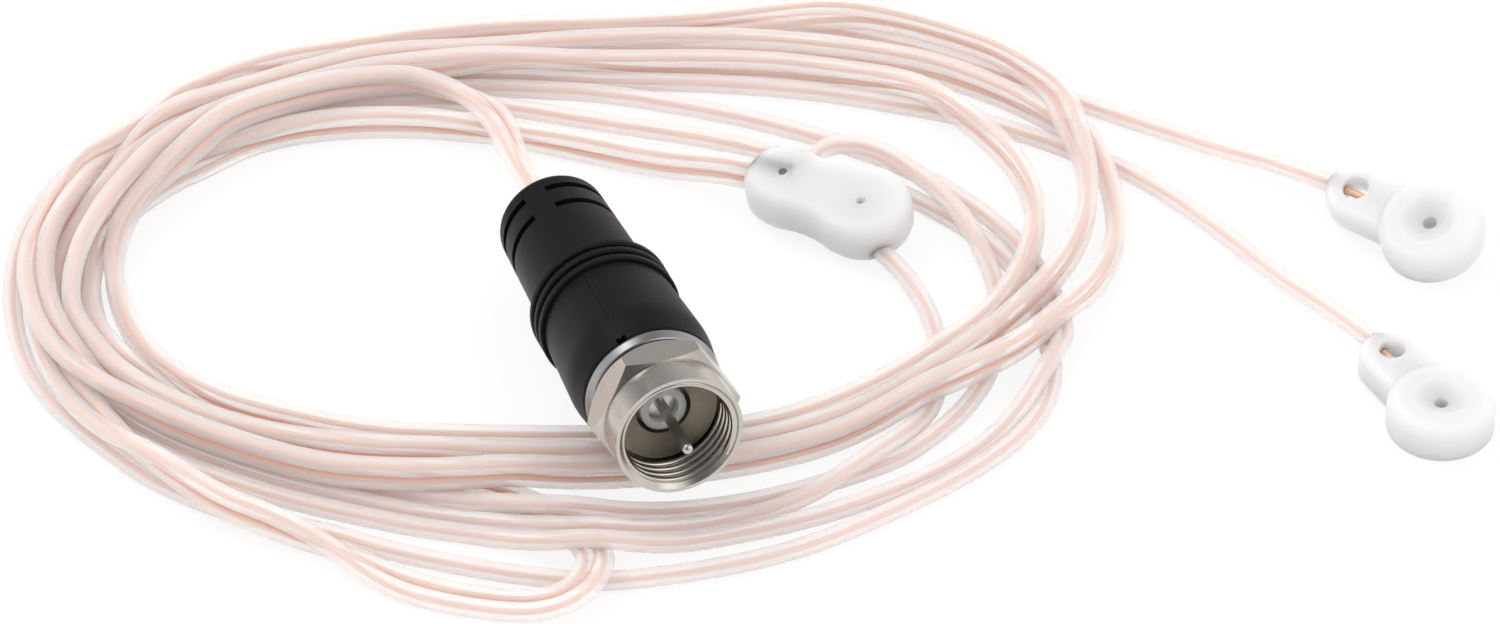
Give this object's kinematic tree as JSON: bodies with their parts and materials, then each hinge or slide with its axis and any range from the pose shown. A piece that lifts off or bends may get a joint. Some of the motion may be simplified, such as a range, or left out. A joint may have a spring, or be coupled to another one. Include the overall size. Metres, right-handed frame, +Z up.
{
  "type": "fm indoor antenna",
  "caption": "Coiled wire dipole antenna: screw-on coaxial plug, clear twin lead, junction block and single-wire arms ending in moulded tabs with a pin hole.",
  "frame": {"origin": "on the surface the antenna lies on, below the middle of its plug, block and tabs", "axes": "+X towards the two end tabs, -Y the way the plug's mouth faces, +Z up"},
  "size_m": [0.1248, 0.0747, 0.0162],
  "materials": {
    "clear_cord": "clear soft PVC over copper strands",
    "black_moulding": "satin black overmoulding",
    "nickel_plate": "nickel plate on brass",
    "white_insulator": "white polyethylene",
    "tinned_copper": "tinned copper wire",
    "ferrite": "dark ferrite",
    "copper": "bare copper strands",
    "white_moulding": "soft white polyethylene moulding"
  },
  "bodies": {
    "antenna": {"feed_lead": "clear_cord", "feed_fold": "clear_cord", "feed_tail": "clear_cord", "arm_a_root": "clear_cord", "arm_b_root": "clear_cord", "arm_a_chord": "clear_cord", "arm_b_chord": "clear_cord", "arm_a_end": "clear_cord", "arm_b_end": "clear_cord", "cord_coil": "clear_cord", "connector_body": "black_moulding", "connector_post": "nickel_plate", "pin_insulator": "white_insulator", "centre_pin": "tinned_copper", "ferrite_core": "ferrite", "transformer_winding": "copper", "feed_conductors": "copper", "junction_block": "white_moulding", "arm_a_wire": "copper", "arm_b_wire": "copper", "end_tab_a": "white_moulding", "end_tab_b": "white_moulding"},
    "nut": {"coupling_nut": "nickel_plate"}
  },
  "joints": [
    {"name": "nut_spin", "type": "hinge", "parent": "antenna", "child": "nut", "pos_m": [-0.02774, -0.01773, 0.01045], "axis": [0.3193, -0.9379, 0.1357], "continuous": true}
  ]
}
